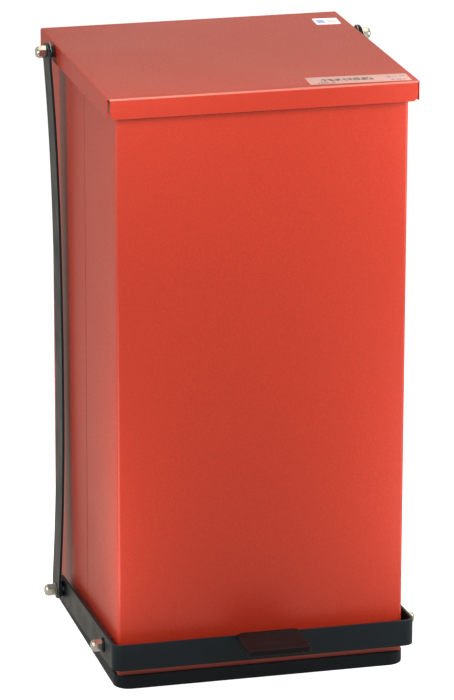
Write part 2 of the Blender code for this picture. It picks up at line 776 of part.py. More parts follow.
def make_fasteners():
    nut = cap_nut_mesh("cap_nut", CHROME)
    arm_inner = FRAME_HALF - STRAP
    pivot_spacer = washer_mesh("pivot_spacer", 0.008, arm_inner - BODY_HALF - 2 * GAP, BLACK_PAINT)
    pivot_washer = washer_mesh("pivot_washer", 0.0095, 0.0015, BLACK_PAINT)
    pivot_bolt = bolt_mesh("pivot_bolt", 0.008, 0.0045, 0.0247, ZINC)
    lid_spacer = washer_mesh("lid_spacer", 0.0075, 0.0042, BLACK_PAINT)
    lid_washer = washer_mesh("lid_washer", 0.0117, 0.0012, ZINC)
    lid_bolt = bolt_mesh("lid_bolt", 0.008, 0.004, 0.0207, ZINC)
    link_spacer = washer_mesh("link_spacer", 0.0100, 0.0041, BLACK_PAINT)
    link_washer = washer_mesh("link_washer", 0.0085, 0.0012, CHROME)
    link_bolt = bolt_mesh("link_bolt", 0.0125, 0.003, 0.0222, ZINC, SEGMENTS)
    for side, sign in SIDES:
        link = LINK_EMPTIES[side]
        bolt_start = BODY_HALF - SHEET - GAP
        fit(f"pivot_bolt_{side}", pivot_bolt, (sign * bolt_start, *PEDAL_AXIS), (sign, 0, 0))
        stack([(f"pivot_spacer_{side}", pivot_spacer, 0)], BODY_HALF + GAP, sign, PEDAL_AXIS, None)
        outer = [(f"pivot_washer_{side}", pivot_washer, 0.0015), (f"pivot_nut_{side}", nut, 0)]
        stack(outer, FRAME_HALF + GAP, sign, PEDAL_AXIS, None)

        lid_half = LID_WIDTH / 2
        inner = lid_half - SHEET - GAP
        fit(f"lid_bolt_{side}", lid_bolt, (sign * inner, *LID_PIN), (sign, 0, 0), LID_EMPTY)
        under = [(f"lid_spacer_{side}", lid_spacer, 0.0042), (f"lid_washer_{side}", lid_washer, 0)]
        stack(under, lid_half + GAP, sign, LID_PIN, LID_EMPTY)
        stack([(f"lid_nut_{side}", nut, 0)], LINK_HIGH_X + STRAP + GAP, sign, LID_PIN, LID_EMPTY)

        fit(f"link_bolt_{side}", link_bolt, (sign * (arm_inner - GAP), *ARM_PIN), (sign, 0, 0), link)
        stack([(f"link_spacer_{side}", link_spacer, 0)], FRAME_HALF + GAP, sign, ARM_PIN, link)
        outer = [(f"link_washer_{side}", link_washer, 0.0012), (f"link_nut_{side}", nut, 0)]
        stack(outer, LINK_LOW_X + STRAP + GAP, sign, ARM_PIN, link)


# ---------------------------------------------------------------- assembly

clear_scene()
PARTS = new_collection("step_on_waste_can")
CUTTERS = new_collection("cutters")

PAINT = material("red powder coat", (0.52, 0.055, 0.030), 0.42, 0.0)
BLACK_PAINT = material("black enamel", (0.020, 0.022, 0.024), 0.45, 0.0)
MOULDED = material("black moulding", (0.014, 0.017, 0.020), 0.6, 0.0)
RUBBER = material("black rubber", (0.012, 0.012, 0.013), 0.7, 0.0)
STEEL = material("plain steel", (0.42, 0.41, 0.40), 0.4, 1.0)
ZINC = material("zinc plate", (0.55, 0.55, 0.53), 0.35, 1.0)
CHROME = material("bright plate", (0.75, 0.74, 0.70), 0.15, 1.0)
GALVANISED = material("galvanised sheet", (0.50, 0.52, 0.54), 0.45, 1.0)
CLEAR_LABEL = material("label film", (0.75, 0.45, 0.40), 0.35, 0.0)
WHITE_LABEL = material("white sticker", (0.85, 0.85, 0.86), 0.5, 0.0)

LID_EMPTY = joint_empty("lid_axis", (0, *LID_AXIS))
PEDAL_EMPTY = joint_empty("pedal_axis", (0, *PEDAL_AXIS))
LINER_EMPTY = joint_empty("liner_axis", (0, LINER_CENTRE_Y, BODY_BOTTOM))
LINK_EMPTIES = {
    side: joint_empty(f"link_axis_{side}", (sign * LINK_HIGH_X, *LID_PIN), LID_EMPTY)
    for side, sign in SIDES
}

make_base()
make_floor_pan()
make_body_shells()
make_mouth_rim()
make_liner()
make_lid()
make_labels()
make_hinge()
make_pedal_frame()
make_pedal()
for link_side, link_sign in SIDES:
    make_link(link_side, link_sign, LINK_EMPTIES[link_side])
make_fasteners()
for part in PARTS.objects:
    if part.type == "MESH":
        smooth(part.data)
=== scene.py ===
"""Looks of a square step-on waste can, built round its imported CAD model.

Lengths are metres in the CAD's frame: +Z up, -Y to the front, the origin on the floor under the
lid's centre. Each piece is drawn in place and rides on a CAD body.
"""

import json
import math

import bmesh
import bpy
from mathutils import Matrix, Vector, noise


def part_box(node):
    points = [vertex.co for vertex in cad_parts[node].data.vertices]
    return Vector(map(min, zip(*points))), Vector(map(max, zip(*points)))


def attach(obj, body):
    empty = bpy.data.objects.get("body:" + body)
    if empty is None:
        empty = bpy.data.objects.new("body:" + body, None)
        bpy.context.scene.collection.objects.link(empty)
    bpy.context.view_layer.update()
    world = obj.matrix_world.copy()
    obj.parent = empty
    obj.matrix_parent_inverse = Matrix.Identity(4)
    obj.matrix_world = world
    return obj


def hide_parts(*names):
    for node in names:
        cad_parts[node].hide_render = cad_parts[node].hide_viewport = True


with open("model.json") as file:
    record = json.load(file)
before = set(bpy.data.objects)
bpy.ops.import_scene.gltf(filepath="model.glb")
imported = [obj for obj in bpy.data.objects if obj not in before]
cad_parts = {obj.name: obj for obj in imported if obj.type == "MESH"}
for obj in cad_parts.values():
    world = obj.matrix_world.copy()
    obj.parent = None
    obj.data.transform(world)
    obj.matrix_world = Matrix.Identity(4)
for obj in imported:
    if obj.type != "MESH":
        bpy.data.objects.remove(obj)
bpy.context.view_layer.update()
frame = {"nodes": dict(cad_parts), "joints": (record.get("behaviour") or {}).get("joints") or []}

SIDES = (("left", -1), ("right", 1))

# Sheet thickness, bar thickness and the radius of the pivots' holes
SHEET = 0.0009
STRAP = 0.003
HOLE_R = 0.0048

# How sheet edges are softened: width, segments, least angle in degrees
SHEET_EDGE = (0.0003, 2, 60)

# The low and high corners of the CAD's pieces, and the material slot of each
LID_LOW, LID_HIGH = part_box("lid_shell")
FRONT_LOW, FRONT_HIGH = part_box("body_front_shell")
REAR_LOW, REAR_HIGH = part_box("body_rear_shell")
BASE_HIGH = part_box("base_moulding")[1]
RIM_LOW, RIM_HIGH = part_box("mouth_rim")
LINER_LOW, LINER_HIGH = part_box("waste_liner")
STRAP_LOW, STRAP_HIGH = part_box("pedal_strap")
PAD_LOW, PAD_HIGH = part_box("pedal_pad")
BODY_LEAF_LOW, BODY_LEAF_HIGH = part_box("hinge_body_leaf")
LID_LEAF_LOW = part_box("hinge_lid_leaf")[0]
PIN_LOW, PIN_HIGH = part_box("hinge_pin")
CAD_SLOTS = {name: node.data.materials[0].name for name, node in frame["nodes"].items()}


def joint_axis(name):
    """(y, z) of a joint's axis."""
    for joint in frame["joints"]:
        if joint["name"] == name:
            return tuple(joint["pos_m"][1:])
    raise KeyError(name)


# ---------------------------------------------------------------- materials


class Shader:
    """One material, and short ways to add nodes to it."""

    def __init__(self, name):
        self.material = bpy.data.materials.new(name)
        self.material.use_nodes = True
        self.tree = self.material.node_tree
        self.bsdf = self.tree.nodes["Principled BSDF"]
        self.place = self.node("TexCoord").outputs["Object"]

    def node(self, kind, inputs=None, **settings):
        """Adds a node, with its settings and what is fed to its inputs."""
        made = self.tree.nodes.new("ShaderNode" + kind)
        for name, value in settings.items():
            setattr(made, name, value)
        for name, value in (inputs or {}).items():
            self.feed(made.inputs[name], value)
        return made

    def feed(self, socket, value):
        """Links another node's output to a socket, or sets the socket's own value."""
        if isinstance(value, bpy.types.NodeSocket):
            self.tree.links.new(value, socket)
        else:
            socket.default_value = value

    def noise(self, scale, detail, stretch=(1, 1, 1), seed=0.0, roughness=0.5):
        """Noise from 0 to 1, its scale in cycles per metre, drawn out along a stretched axis."""
        inputs = {"Vector": self.place, "Scale": stretch, "Location": (seed, seed, seed)}
        where = self.node("Mapping", inputs).outputs[0]
        inputs = {"Vector": where, "Scale": scale, "Detail": detail, "Roughness": roughness}
        return self.node("TexNoise", inputs).outputs["Fac"]

    def spread(self, value, low, high, to_low=0.0, to_high=1.0):
        """The value carried from one range to another, and clamped there."""
        inputs = {"Value": value, "From Min": low, "From Max": high}
        inputs.update({"To Min": to_low, "To Max": to_high})
        return self.node("MapRange", inputs).outputs[0]

    def sum(self, first, second, operation="ADD"):
        """The sum of two values, or another operation on them."""
        made = self.node("Math", operation=operation)
        self.feed(made.inputs[0], first)
        self.feed(made.inputs[1], second)
        return made.outputs[0]

    def mix(self, share, first, second):
        """The first colour turned by a share into the second."""
        made = self.node("Mix", data_type="RGBA")
        self.feed(made.inputs[0], share)
        for socket, value in ((made.inputs[6], first), (made.inputs[7], second)):
            self.feed(socket, (*value, 1.0) if isinstance(value, tuple) else value)
        return made.outputs[2]

    def band(self, value, middle, half, soft):
        """1 up to half a width from a middle value, falling to 0 over a soft edge outside it."""
        off = self.sum(value, middle, "SUBTRACT")
        off = self.node("Math", {0: off}, operation="ABSOLUTE").outputs[0]
        return self.spread(off, half + soft, half)

    def plan(self, spot, turn, size):
        """Two coordinates over a label that lies at a spot, turned by degrees: -0.5 to 0.5 each."""
        inputs = {
            "Vector": self.place,
            "Location": spot,
            "Rotation": (0, 0, math.radians(turn)),
            "Scale": (*size, 1),
        }
        flat = self.node("Mapping", inputs, vector_type="TEXTURE").outputs[0]
        axes = self.node("SeparateXYZ", {"Vector": flat})
        return axes.outputs[0], axes.outputs[1]

    def edges(self, radius):
        """1 along the piece's edges and 0 on its flats."""
        clean, worn = 0.995, 0.90
        bent = self.node("Bevel", {"Radius": radius}, samples=4).outputs[0]
        flat = self.node("NewGeometry").outputs["Normal"]
        both = self.node("VectorMath", {0: bent, 1: flat}, operation="DOT_PRODUCT")
        return self.spread(both.outputs["Value"], clean, worn)

    def bump(self, *layers):
        """Height layers of (height, depth in metres), one on another."""
        normal = None
        for height, depth in layers:
            made = self.node("Bump", {"Height": height, "Distance": depth, "Strength": 1.0})
            if normal is not None:
                self.feed(made.inputs["Normal"], normal)
            normal = made.outputs[0]
        self.feed(self.bsdf.inputs["Normal"], normal)

    def set(self, **values):
        """Principled inputs, with spaces in their names written as underscores."""
        for name, value in values.items():
            socket = self.bsdf.inputs[name.replace("_", " ")]
            self.feed(socket, (*value, 1.0) if isinstance(value, tuple) else value)
        return self.material


# Painted shade and painted highlight for the coat, and the heights between which its foot's painted
# shade comes in
# Dark of a joint with painted shade in it, and painted shadow under the lid's flanges
JOINT_AND_SHADE_DARK = (0.16, 0.010, 0.005)
# Painted highlight along the lid's front fold
PAINTED_FOLD_HIGHLIGHT = (0.98, 0.36, 0.27)
# Painted shade on the coat's foot, under the pedal bar
PAINTED_FOOT_SHADE = (0.20, 0.030, 0.016)
FOOT_TOP, FOOT_LOW = 0.044, 0.036


def powder_coat(name, colour, deep, pale, fold=None, shade_lines=()):
    """Cured powder: fine speckle, orange peel and soft clouds, paler at the edges.

    A fold is the (y, z) of an edge at the front that gets a pale painted highlight. A line of
    painted shade is an (axis, middle, half width).
    """
    s = Shader(name)
    speckle = s.noise(620, 3.0, roughness=0.75)
    peel = s.noise(260, 2.0, seed=3.1)
    mottle = s.noise(120, 3.0, seed=5.5)
    cloud = s.noise(7, 3.0, seed=7.7)
    tone = s.mix(s.spread(speckle, 0.36, 0.64), deep, colour)
    tone = s.mix(s.spread(mottle, 0.35, 0.65, 0.0, 0.20), tone, deep)
    tone = s.mix(s.spread(cloud, 0.35, 0.65, 0.0, 0.16), tone, deep)
    tone = s.mix(s.sum(s.edges(0.0009), 0.18, "MULTIPLY"), tone, pale)
    axes = s.node("SeparateXYZ", {"Vector": s.place})
    # Painted shade along each line: the seam's joint, and the shadow just under the lid's flanges
    for axis, middle, half in shade_lines:
        shade_line = s.band(axes.outputs[axis], middle, half - 0.0002, 0.0008)
        shade_share = s.sum(shade_line, s.spread(cloud, 0.2, 0.8, 0.65, 0.45), "MULTIPLY")
        tone = s.mix(shade_share, tone, JOINT_AND_SHADE_DARK)
    # Painted highlight along the front fold
    if fold:
        fold_y, fold_z = fold
        ahead = s.spread(axes.outputs[1], fold_y + 0.0026, fold_y + 0.0018)
        above = s.spread(axes.outputs[2], fold_z - 0.0026, fold_z - 0.0014)
        fold_highlight = s.sum(s.sum(ahead, above, "MULTIPLY"), 0.6, "MULTIPLY")
        tone = s.mix(fold_highlight, tone, PAINTED_FOLD_HIGHLIGHT)
    # Painted shade: darker towards the floor, where the pedal bar shades the foot
    foot = s.spread(axes.outputs[2], FOOT_TOP, FOOT_LOW, 0.0, 0.65)
    tone = s.mix(foot, tone, PAINTED_FOOT_SHADE)
    rough = s.sum(s.spread(peel, 0.3, 0.7, 0.38, 0.46), s.spread(cloud, 0.3, 0.7, -0.02, 0.03))
    s.bump((peel, 0.00012), (speckle, 0.00004))
    return s.set(Base_Color=tone, Roughness=rough, Specular_IOR_Level=0.68)


def enamel(name, colour, dust):
    """Satin black enamel with orange peel, a little dust, and edges rubbed slightly grey."""
    s = Shader(name)
    peel = s.noise(420, 2.0)
    cloud = s.noise(22, 4.0, seed=4.2)
    fine = s.noise(1500, 2.0, seed=1.3)
    tone = s.mix(s.spread(cloud, 0.35, 0.75, 0.0, 0.5), colour, dust)
    tone = s.mix(s.sum(s.edges(0.0007), 0.5, "MULTIPLY"), tone, tuple(4 * c for c in dust))
    rough = s.sum(s.spread(cloud, 0.3, 0.7, 0.32, 0.46), s.spread(fine, 0.3, 0.7, -0.02, 0.04))
    s.bump((peel, 0.00007), (fine, 0.00002))
    return s.set(Base_Color=tone, Roughness=rough, Specular_IOR_Level=0.22)


def moulded(name, colour, pale):
    """Moulded plastic with a spark-eroded grain and faint flow marks."""
    s = Shader(name)
    grain = s.noise(1300, 3.0, roughness=0.7)
    flow = s.noise(18, 3.0, stretch=(1, 1, 6), seed=2.0)
    tone = s.mix(s.spread(flow, 0.3, 0.75, 0.0, 0.6), colour, pale)
    # Painted highlight: lighter along the edges
    tone = s.mix(s.sum(s.edges(0.0012), 0.45, "MULTIPLY"), tone, tuple(2.5 * c for c in pale))
    rough = s.spread(grain, 0.3, 0.7, 0.46, 0.62)
    s.bump((grain, 0.00010))
    return s.set(Base_Color=tone, Roughness=rough, Specular_IOR_Level=0.18)


def rubber(name, colour, dust):
    """Black rubber: dull, finely pitted, with dust and scuffs on top."""
    s = Shader(name)
    cells = s.node("TexVoronoi", {"Vector": s.place, "Scale": 900.0}, feature="F1")
    pits = cells.outputs["Distance"]
    scuff = s.noise(55, 6.0, stretch=(0.35, 1, 1), seed=5.0, roughness=0.65)
    tone = s.mix(s.spread(scuff, 0.45, 0.8, 0.0, 0.8), colour, dust)
    # Painted highlight: the edges are much lighter
    tone = s.mix(s.sum(s.edges(0.0012), 0.9, "MULTIPLY"), tone, tuple(5 * c for c in dust))
    rough = s.spread(scuff, 0.35, 0.7, 0.50, 0.72)
    s.bump((pits, 0.00010), (scuff, 0.00012))
    return s.set(Base_Color=tone, Roughness=rough, Specular_IOR_Level=0.15)


def bare_metal(name, colour, dull, rough, grain=0.00002, stretch=(1, 1, 1)):
    """Plated or plain metal, with fine scratches and a slightly uneven tarnish."""
    s = Shader(name)
    tarnish = s.noise(90, 4.0, seed=6.0)
    scratch = s.noise(900, 4.0, stretch=stretch, seed=2.5, roughness=0.7)
    tone = s.mix(s.spread(tarnish, 0.35, 0.75), colour, dull)
    uneven = s.spread(tarnish, 0.3, 0.7, rough * 0.8, rough * 1.35)
    scored = s.spread(scratch, 0.3, 0.7, 0.0, 0.06)
    s.bump((scratch, grain))
    return s.set(Base_Color=tone, Roughness=s.sum(uneven, scored), Metallic=1.0)


def galvanised(name, pale, dark):
    """Hot-dipped zinc: uneven spangles, each of its own grey and gloss, under a thin bloom."""
    s = Shader(name)
    warp = s.noise(60, 2.0)
    drift_x, drift_y = s.sum(warp, 0.006, "MULTIPLY"), s.sum(warp, -0.005, "MULTIPLY")
    drift = s.node("CombineXYZ", {"X": drift_x, "Y": drift_y}).outputs[0]
    shifted = s.node("VectorMath", {0: s.place, 1: drift}, operation="ADD")
    cells = s.node("TexVoronoi", {"Vector": shifted.outputs[0], "Scale": 85.0}, feature="F1")
    shade = s.node("SeparateColor", {"Color": cells.outputs["Color"]}).outputs[0]
    bloom = s.noise(11, 5.0, seed=9.0)
    tone = s.mix(s.spread(shade, 0.1, 0.9), dark, pale)
    tone = s.mix(s.spread(bloom, 0.45, 0.75, 0.0, 0.5), tone, (0.42, 0.43, 0.42))
    rough = s.sum(s.spread(shade, 0.0, 1.0, 0.30, 0.48), s.spread(bloom, 0.4, 0.7, 0.0, 0.15))
    s.bump((shade, 0.00002), (s.noise(500, 3.0), 0.00003))
    return s.set(Base_Color=tone, Roughness=rough, Metallic=0.85)


# The coat's middle, deep and pale colours, and the dark lines of the body: the side seam, a joint
# with painted shade in it, and painted shadow just under the lid's flanges
REDS = (0.680, 0.043, 0.014), (0.530, 0.030, 0.009), (0.760, 0.085, 0.045)
SEAM = (1, FRONT_HIGH.y + 0.0009, 0.0013)
UNDER_LID_SHADOW = (2, LID_LOW.z - 0.0014, 0.0014)

RED = powder_coat("red powder coat", *REDS)
BODY_RED = powder_coat("red powder coat on the body", *REDS, shade_lines=(SEAM, UNDER_LID_SHADOW))
LID_RED = powder_coat("red powder coat on the lid", *REDS, fold=(LID_LOW.y, LID_HIGH.z))
BLACK = enamel("black enamel", (0.005, 0.011, 0.016), (0.010, 0.018, 0.023))
BASE = moulded("black moulding", (0.004, 0.009, 0.013), (0.008, 0.013, 0.018))
RUBBER = rubber("black rubber", (0.008, 0.006, 0.007), (0.015, 0.013, 0.014))
STEEL = bare_metal("plain steel", (0.46, 0.45, 0.44), (0.30, 0.29, 0.28), 0.36, stretch=(0.1, 1, 1))
ZINC = bare_metal("zinc plate", (0.62, 0.61, 0.57), (0.42, 0.41, 0.37), 0.30)
BRIGHT = bare_metal("bright nut", (0.66, 0.65, 0.61), (0.40, 0.39, 0.36), 0.10, grain=0.000008)
GALVANISED = galvanised("galvanised sheet", (0.66, 0.68, 0.70), (0.40, 0.42, 0.45))
FINISHES = {
    "red_powder_coat": RED,
    "black_enamel": BLACK,
    "moulded_base": BASE,
    "black_rubber": RUBBER,
    "plain_steel": STEEL,
    "zinc_plate": ZINC,
    "bright_nut": BRIGHT,
    "galvanised_sheet": GALVANISED,
}

# Bars on the clear label, as shares of its size: middle across, half width, middle up, half height
PRINT_BARS = (
    (-0.11, 0.255, 0.02, 0.16),
    (-0.33, 0.080, -0.34, 0.03),
    (0.327, 0.045, 0.10, 0.09),
    (0.433, 0.016, 0.12, 0.05),
    (0.38, 0.070, -0.28, 0.03),
)
# Blocks on the white sticker, as shares of its size: middle across, half width, colour
COLOUR_BLOCKS = (
    (-0.24, 0.15, (0.33, 0.38, 0.62)),
    (0.205, 0.185, (0.80, 0.56, 0.56)),
)


def label_film(name, spot, turn, size):
    """Clear film that shows the paint through it, with plain grey bars where print would be."""
    film, ink = (0.90, 0.49, 0.42), (0.11, 0.07, 0.06)
    s = Shader(name)
    across, up = s.plan(spot, turn, size)
    marks = 0.0
    for middle, half, height, thick in PRINT_BARS:
        bar = s.sum(s.band(across, middle, half, 0.01), s.band(up, height, thick, 0.04), "MULTIPLY")
        marks = s.sum(marks, bar, "MAXIMUM")
    blotch = s.noise(330, 2.0, stretch=(1, 0.35, 1))
    faded = s.sum(marks, s.spread(blotch, 0.42, 0.54, 0.10, 0.85), "MULTIPLY")
    wrinkle = s.noise(35, 3.0)
    tone = s.mix(faded, film, ink)
    s.bump((wrinkle, 0.00012))
    return s.set(Base_Color=tone, Roughness=s.spread(wrinkle, 0.3, 0.7, 0.28, 0.42))


def white_sticker(name, spot, turn, size):
    """White vinyl with two plain colour blocks, and a faint painted glow that keeps it white."""
    s = Shader(name)
    across, up = s.plan(spot, turn, size)
    inside = s.band(up, -0.015, 0.285, 0.03)
    speck = s.noise(700, 2.0)
    tone = s.mix(s.spread(speck, 0.3, 0.7), (0.88, 0.88, 0.89), (0.94, 0.94, 0.94))
    for middle, half, colour in COLOUR_BLOCKS:
        tone = s.mix(s.sum(inside, s.band(across, middle, half, 0.02), "MULTIPLY"), tone, colour)
    s.bump((s.noise(60, 2.0), 0.00008))
    return s.set(
        Base_Color=tone,
        Roughness=s.spread(speck, 0.3, 0.7, 0.38, 0.5),
        # Painted light: a faint glow keeps the sticker white
        Emission_Color=tone,
        Emission_Strength=0.62,
    )


# ---------------------------------------------------------------- mesh helpers


def outline(corners, radii, steps, closed=True):
    """A plan outline with arcs for corners. An open outline keeps its two end points."""
    points = []
    count = len(corners)
    for i, corner in enumerate(corners):
        if radii[i] == 0 or (not closed and i in (0, count - 1)):
            points.append(Vector(corner))
            continue
        corner = Vector(corner)
        back = (Vector(corners[i - 1]) - corner).normalized()
        ahead = (Vector(corners[(i + 1) % count]) - corner).normalized()
        half = back.angle(ahead) / 2
        centre = corner + (back + ahead).normalized() * radii[i] / math.sin(half)
        start = corner + back * radii[i] / math.tan(half) - centre
        end = corner + ahead * radii[i] / math.tan(half) - centre
        first = math.atan2(start.y, start.x)
        turn = (math.atan2(end.y, end.x) - first + math.pi) % math.tau - math.pi
        for step in range(steps + 1):
            angle = first + turn * step / steps
            points.append(centre + Vector((math.cos(angle), math.sin(angle))) * radii[i])
    return points


def rectangle(low_x, high_x, low_y, high_y, radius, steps):
    """A rectangle in plan with rounded corners."""
    corners = ((low_x, low_y), (high_x, low_y), (high_x, high_y), (low_x, high_y))
    return outline(corners, (radius,) * 4, steps)


def divided(points, longest):
    """The same path, with its long stretches cut into shorter ones."""
    made = [points[0]]
    for start, end in zip(points, points[1:]):
        parts = max(1, math.ceil((end - start).length / longest))
        made += [start.lerp(end, i / parts) for i in range(1, parts + 1)]
    return made


def raised(points, z):
    """Plan points at a height."""
    return [(point.x, point.y, z) for point in points]


def rounded_side(low, high, edge, steps):
    """(inset, height) pairs up a side whose lower and upper edges are rounded."""
    arc = [math.pi / 2 * i / steps for i in range(steps + 1)]
    foot = [(edge * (1 - math.sin(a)), low + edge * (1 - math.cos(a))) for a in arc]
    head = [(edge * (1 - math.cos(a)), high - edge * (1 - math.sin(a))) for a in arc]
    return foot + head


def grid(bm, rows, closed=False, capped=False):
    """Quads between rows of points, each row as long as the next.

    A closed grid joins each row's ends, and a capped one has a face over its first and last rows.
    """
    rings = [[bm.verts.new(point) for point in row] for row in rows]
    for low, high in zip(rings, rings[1:]):
        for i in range(0 if closed else 1, len(low)):
            bm.faces.new((low[i - 1], low[i], high[i], high[i - 1]))
    if capped:
        bm.faces.new(rings[0])
        bm.faces.new(rings[-1])
    return rings


def piece(name, bm, finish, body, nodes, angle=40):
    """Makes a piece from a bmesh drawn in place, and sets it on its body instead of CAD nodes."""
    bmesh.ops.recalc_face_normals(bm, faces=bm.faces)
    mesh = bpy.data.meshes.new(name)
    bm.to_mesh(mesh)
    bm.free()
    mesh.shade_smooth()
    mesh.set_sharp_from_angle(angle=math.radians(angle))
    obj = bpy.data.objects.new(name, mesh)
    bpy.context.scene.collection.objects.link(obj)
    mesh.materials.append(finish)
    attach(obj, body)
    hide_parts(*nodes)
    return obj


def faces_away(bm, inside):
    """Makes an open sheet's faces agree, and tells whether they point away from its inside."""
    bmesh.ops.recalc_face_normals(bm, faces=bm.faces)
    bm.normal_update()
    inside = Vector(inside)
    outward = 0.0
    for face in bm.faces:
        outward += face.normal.dot(face.calc_center_median() - inside) * face.calc_area()
    return outward > 0


def thicken(obj, inside, thickness, outward=False):
    """Gives an open sheet its thickness, towards a place inside it or away from it."""
    bm = bmesh.new()
    bm.from_mesh(obj.data)
    if not faces_away(bm, inside):
        bmesh.ops.reverse_faces(bm, faces=bm.faces)
    bm.to_mesh(obj.data)
    bm.free()
    modifier = obj.modifiers.new("thickness", "SOLIDIFY")
    modifier.thickness = thickness
    modifier.offset = 1.0 if outward else -1.0
    modifier.use_even_offset = True


def soften(obj, width, segments, angle):
    """Rounds the edges and keeps the flats flat."""
    modifier = obj.modifiers.new("rounded edges", "BEVEL")
    modifier.width = width
    modifier.segments = segments
    modifier.limit_method = "ANGLE"
    modifier.angle_limit = math.radians(angle)
    modifier.harden_normals = True


def cut(obj, bm):
    """Takes a closed shape away from a piece."""
    bmesh.ops.recalc_face_normals(bm, faces=bm.faces)
    mesh = bpy.data.meshes.new("cutter")
    bm.to_mesh(mesh)
    bm.free()
    tool = bpy.data.objects.new("cutter", mesh)
    bpy.context.scene.collection.objects.link(tool)
    modifier = obj.modifiers.new("hole", "BOOLEAN")
    modifier.object = tool
    modifier.operation = "DIFFERENCE"
    modifier.solver = "EXACT"


def settle(obj):
    """Applies a piece's modifiers, and takes away the cutters that they used."""
    graph = bpy.context.evaluated_depsgraph_get()
    mesh = bpy.data.meshes.new_from_object(obj.evaluated_get(graph))
    tools = [modifier.object for modifier in obj.modifiers if modifier.type == "BOOLEAN"]
    obj.modifiers.clear()
    obj.data = mesh
    mesh.name = obj.name
    for tool in tools:
        bpy.data.objects.remove(tool, do_unlink=True)
    return obj


def cross_hole(y, z, radius=HOLE_R, low=-0.25, high=0.25, stretch=(0.0, 0.0)):
    """A rod along X as a cutter, round, or drawn out to a slot."""
    bm = bmesh.new()
    steps = 40
    ring = []
    for i in range(steps):
        angle = math.tau * i / steps
        off_y = math.copysign(stretch[0] / 2, math.cos(angle))
        off_z = math.copysign(stretch[1] / 2, math.sin(angle))
        ring.append((y + radius * math.cos(angle) + off_y, z + radius * math.sin(angle) + off_z))
    grid(bm, [[(x, *point) for point in ring] for x in (low, high)], closed=True, capped=True)
    return bm


def lathe(bm, profile, origin, axis, steps):
    """Turns a profile of (radius, height) about an axis through a point.

    The profile starts and ends on the axis, or else it is closed.
    """
    turn = Vector(axis).to_track_quat("Z", "Y").to_matrix().to_4x4()
    matrix = Matrix.Translation(origin) @ turn
    closed = profile[0][0] > 0
    rings = []
    for radius, height in profile:
        if radius == 0:
            rings.append([bm.verts.new(matrix @ Vector((0, 0, height)))])
            continue
        ring = []
        for i in range(steps):
            angle = math.tau * i / steps
            spot = Vector((radius * math.cos(angle), radius * math.sin(angle), height))
            ring.append(bm.verts.new(matrix @ spot))
        rings.append(ring)
    pairs = list(zip(rings, rings[1:]))
    if closed:
        pairs.append((rings[-1], rings[0]))
    for low, high in pairs:
        for i in range(steps):
            corners = [low[i - 1], low[i]] if len(low) > 1 else [low[0]]
            corners += [high[i], high[i - 1]] if len(high) > 1 else [high[0]]
            bm.faces.new(corners)


def chamfered(radius, low, high, edge, bore=0.0):
    """The profile of a disc or ring with small chamfers."""
    outer = [(radius - edge, low), (radius, low + edge)]
    outer += [(radius, high - edge), (radius - edge, high)]
    if bore:
        return [(bore, low), *outer, (bore, high)]
    return [(0, low), *outer, (0, high)]


# ---------------------------------------------------------------- can


def dent(x, y, z, scale=5.0):
    """A smooth wave from 0 to 1 over a large panel."""
    return 0.5 + 0.5 * noise.noise(Vector((x * scale, y * scale, z * scale)))


def fade(value, low, high, reach):
    """0 at the ends of a range and 1 inside it."""
    near = min(value - low, high - value)
    share = min(max(near / reach, 0.0), 1.0)
    return share * share * (3 - 2 * share)


def panel_rows(path, low, high):
    """Rows of a tall sheet that follows a plan path, its flats a little wavy as folded sheet is."""
    step, wave, side_reach, end_reach = 0.020, 0.00035, 0.05, 0.06
    rows = []
    count = math.ceil((high - low) / step)
    normals = []
    for i, point in enumerate(path):
        along = (path[min(i + 1, len(path) - 1)] - path[max(i - 1, 0)]).normalized()
        normals.append(Vector((along.y, -along.x)))
    for k in range(count + 1):
        z = low + (high - low) * k / count
        row = []
        for point, normal in zip(path, normals):
            flat = 0.0
            if abs(normal.y) > 0.9:
                flat = fade(point.x, FRONT_LOW.x, FRONT_HIGH.x, side_reach)
            elif abs(normal.x) > 0.9:
                flat = fade(point.y, FRONT_LOW.y, REAR_HIGH.y, side_reach)
            inward = wave * flat * fade(z, low, high, end_reach) * dent(point.x, point.y, z)
            spot = point - normal * inward
            row.append((spot.x, spot.y, z))
        rows.append(row)
    return rows


def make_shells():
    """The front and rear shells, lapped at the sides."""
    half, front, rear = FRONT_HIGH.x, FRONT_LOW.y, REAR_HIGH.y
    low, high = FRONT_LOW.z, FRONT_HIGH.z
    edge = FRONT_HIGH.y
    radius, joggle, spacing = 0.004, 0.0006, 0.020
    axis = (0, 0, 0.4)

    corners = ((-half, edge), (-half, front), (half, front), (half, edge))
    path = outline(corners, (0, radius, radius, 0), 8, False)
    bm = bmesh.new()
    grid(bm, panel_rows(divided(path, spacing), low, high))
    shell = piece("front_shell", bm, BODY_RED, "can", ["body_front_shell"])
    thicken(shell, axis, SHEET)
    cut(shell, cross_hole(*joint_axis("pedal_hinge")))
    soften(settle(shell), *SHEET_EDGE)

    lap = half - SHEET - 0.0003
    right = [(lap, REAR_LOW.y), (lap, edge + 0.0004), (half, edge + 0.0024), (half, rear)]
    left = [(-x, y) for x, y in reversed(right)]
    radii = (0, joggle, joggle, radius)
    path = outline(right + left, (*radii, *reversed(radii)), 6, False)
    bm = bmesh.new()
    grid(bm, panel_rows(divided(path, spacing), low, high))
    shell = piece("rear_shell", bm, BODY_RED, "can", ["body_rear_shell"])
    thicken(shell, axis, SHEET)
    soften(settle(shell), *SHEET_EDGE)


